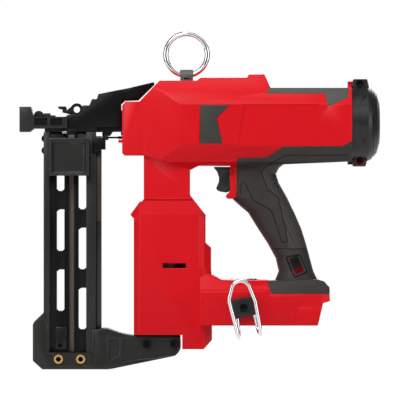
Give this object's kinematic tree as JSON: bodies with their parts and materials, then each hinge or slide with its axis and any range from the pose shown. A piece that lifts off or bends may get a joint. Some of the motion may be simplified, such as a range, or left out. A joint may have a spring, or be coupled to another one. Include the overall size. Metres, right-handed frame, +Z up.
{
  "type": "fencing stapler",
  "caption": "Cordless fencing stapler with air spring driver, slotted staple magazine, pistol grip and bare battery foot.",
  "frame": {"origin": "on the firing axis at the front face of the contact foot", "axes": "+X from the nose back to the rear cap, +Z up, -Y the near side that the picture shows"},
  "size_m": [0.3599, 0.1129, 0.3376],
  "materials": {
    "red_housing": "fine moulded satin, glass filled nylon",
    "dark_rubber": "soft overmould, matte",
    "grey_rubber": "soft pad, matte",
    "dark_plastic": "moulded satin",
    "black_metal": "black coated casting",
    "steel": "ground steel",
    "zinc_wire": "bright plated wire",
    "aluminium": "machined",
    "brass": "turned brass",
    "black_steel": "black oxide",
    "seal": "moulded seal",
    "green_board": "potted board",
    "lamination": "lamination stack"
  },
  "bodies": {
    "tool_body": {"housing_near": "red_housing", "housing_far": "red_housing", "grip_near": "dark_rubber", "grip_far": "dark_rubber", "top_pad": "grey_rubber", "side_pads": "dark_rubber", "rear_cap": "dark_plastic", "nose_block": "black_metal", "magazine_side_near": "black_metal", "magazine_side_far": "black_metal", "magazine_front_rail": "black_metal", "core_rail": "steel", "rear_strip": "steel", "magazine_foot": "black_metal", "brass_inserts": "brass", "body_screws": "black_steel", "small_screws": "black_steel", "pivot_pins": "steel", "magazine_catch": "black_steel", "lifter_frame": "aluminium", "lifter_cover": "aluminium", "gear_case": "aluminium", "bearings": "steel", "stator": "lamination", "motor_end_cap": "dark_plastic", "cylinder": "aluminium", "cylinder_head": "aluminium", "bumper": "seal", "switches": "dark_plastic", "keypad": "dark_plastic", "battery_terminals": "dark_plastic", "controller": "green_board", "ring_strap": "steel", "belt_hook": "zinc_wire", "hook_clamp": "dark_plastic", "contact_spring": "steel", "pusher_band": "steel", "trigger_spring": "steel"},
    "contact": {"contact_foot": "black_steel", "contact_rod": "black_steel"},
    "latch": {"nose_latch": "black_steel"},
    "pusher": {"pusher": "black_metal", "pusher_coil": "steel"},
    "ring": {"hang_ring": "zinc_wire"},
    "trigger": {"trigger": "dark_plastic"},
    "plunger": {"switch_plunger": "dark_plastic"},
    "lock": {"lock_slider": "dark_plastic"},
    "button": {"mode_button": "dark_rubber"},
    "lifter": {"lifter_wheel": "steel", "lifter_pins": "steel", "carrier_shaft": "steel"},
    "driver": {"driver_blade": "steel", "piston": "aluminium", "piston_seals": "seal"},
    "rotor": {"rotor_shaft": "steel", "rotor": "lamination", "fan": "dark_plastic"},
    "planet_1": {"planet_gear_1": "steel"},
    "planet_2": {"planet_gear_2": "steel"},
    "planet_3": {"planet_gear_3": "steel"}
  },
  "joints": [
    {"name": "contact_slide", "type": "slide", "parent": "tool_body", "child": "contact", "axis": [1, 0, 0], "range_m": [0, 0.008], "stiffness_N_per_m": 900, "springref_m": -0.012, "deforming": ["contact_spring"]},
    {"name": "latch_hinge", "type": "hinge", "parent": "tool_body", "child": "latch", "pos_m": [0.0665, 0, 0.012], "axis": [0, 1, 0], "range_deg": [0, 55]},
    {"name": "pusher_slide", "type": "slide", "parent": "tool_body", "child": "pusher", "axis": [0, 0, -1], "range_m": [0, 0.15], "stiffness_N_per_m": 20, "springref_m": -0.45, "deforming": ["pusher_band"]},
    {"name": "ring_swing", "type": "hinge", "parent": "tool_body", "child": "ring", "pos_m": [0.1666, 0, 0.04765], "axis": [1, 0, 0], "range_deg": [-85, 85]},
    {"name": "trigger_pull", "type": "hinge", "parent": "tool_body", "child": "trigger", "pos_m": [0.214, 0, -0.048], "axis": [0, -1, 0], "range_deg": [0, 10], "stiffness_Nm_per_rad": 1.2, "springref_deg": -14.32, "deforming": ["trigger_spring"]},
    {"name": "plunger_slide", "type": "slide", "parent": "tool_body", "child": "plunger", "axis": [1, 0, 0], "range_m": [0, 0.0025]},
    {"name": "lock_slide", "type": "slide", "parent": "tool_body", "child": "lock", "axis": [0.38, 0, -0.925], "range_m": [0, 0.0045]},
    {"name": "button_press", "type": "slide", "parent": "tool_body", "child": "button", "axis": [0, 0, -1], "range_m": [0, 0.001], "stiffness_N_per_m": 1500, "springref_m": -0.0008},
    {"name": "lifter_turn", "type": "hinge", "parent": "tool_body", "child": "lifter", "pos_m": [0.147, 0.0185, 0], "axis": [0, 0, 1], "range_deg": [-300, 0]},
    {"name": "driver_stroke", "type": "slide", "parent": "tool_body", "child": "driver", "axis": [1, 0, 0], "range_m": [-0.0786, 0.0001]},
    {"name": "rotor_spin", "type": "hinge", "parent": "tool_body", "child": "rotor", "pos_m": [0.147, 0.0185, -0.14], "axis": [0, 0, 1], "range_deg": [-1801, 1]},
    {"name": "planet_spin_1", "type": "hinge", "parent": "lifter", "child": "planet_1", "pos_m": [0.1614, 0.0185, -0.109], "axis": [0, 0, 1], "range_deg": [-1, 751]},
    {"name": "planet_spin_2", "type": "hinge", "parent": "lifter", "child": "planet_2", "pos_m": [0.1398, 0.03097, -0.109], "axis": [0, 0, 1], "range_deg": [-1, 751]},
    {"name": "planet_spin_3", "type": "hinge", "parent": "lifter", "child": "planet_3", "pos_m": [0.1398, 0.00603, -0.109], "axis": [0, 0, 1], "range_deg": [-1, 751]}
  ],
  "couplings": [
    {"joint": "driver_stroke", "follows": "lifter_turn", "m_per_rad": 0.015},
    {"joint": "rotor_spin", "follows": "lifter_turn", "ratio": 6},
    {"joint": "plunger_slide", "follows": "trigger_pull", "m_per_rad": 0.0125},
    {"joint": "planet_spin_1", "follows": "lifter_turn", "ratio": -2.5},
    {"joint": "planet_spin_2", "follows": "lifter_turn", "ratio": -2.5},
    {"joint": "planet_spin_3", "follows": "lifter_turn", "ratio": -2.5}
  ]
}
